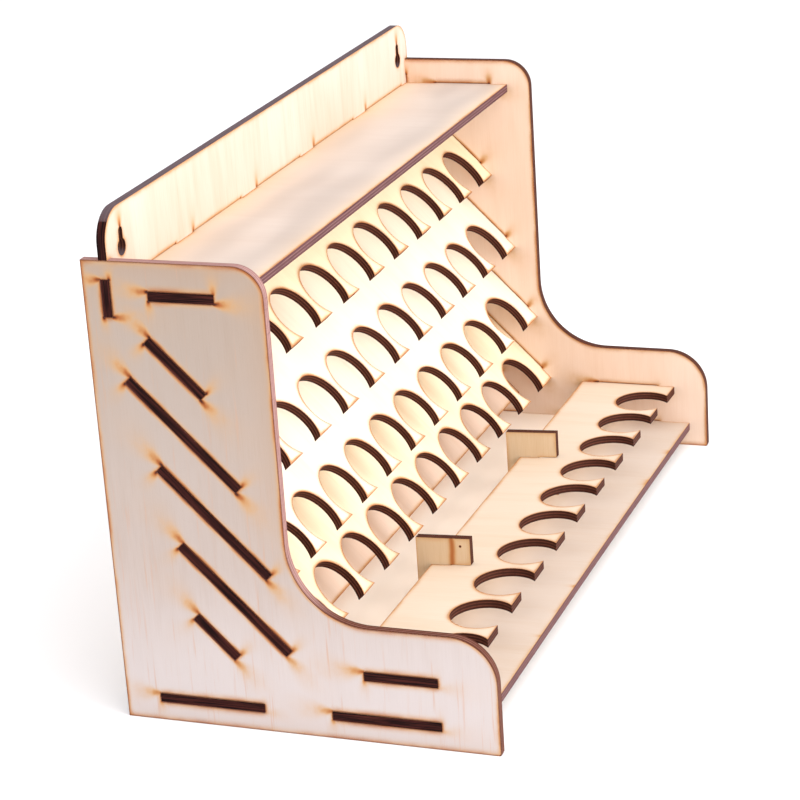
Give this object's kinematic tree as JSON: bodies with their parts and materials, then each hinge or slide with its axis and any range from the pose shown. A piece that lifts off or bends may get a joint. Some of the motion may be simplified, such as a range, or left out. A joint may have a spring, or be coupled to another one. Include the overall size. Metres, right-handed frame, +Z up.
{
  "type": "paint bottle rack",
  "caption": "Stepped plywood rack for small round bottles: tilted notched plates above an upright front row, a top shelf and a back board with keyholes, between two curved side panels.",
  "frame": {"origin": "centre of the footprint, on the surface the rack stands on", "axes": "+X along the rack, -Y to the front where the bottles go in, +Z up"},
  "size_m": [0.35, 0.164, 0.219],
  "materials": {
    "plywood": "raw pale plywood, faces unfinished, laser-cut edges dark brown"
  },
  "bodies": {
    "root": {"side_panel_left": "plywood", "side_panel_right": "plywood", "back_panel": "plywood", "top_shelf": "plywood", "row_plate_1": "plywood", "row_plate_2": "plywood", "row_plate_3": "plywood", "row_plate_4": "plywood", "row_floor": "plywood", "base_plate": "plywood", "front_shelf": "plywood", "divider_left": "plywood", "divider_right": "plywood"}
  },
  "joints": []
}
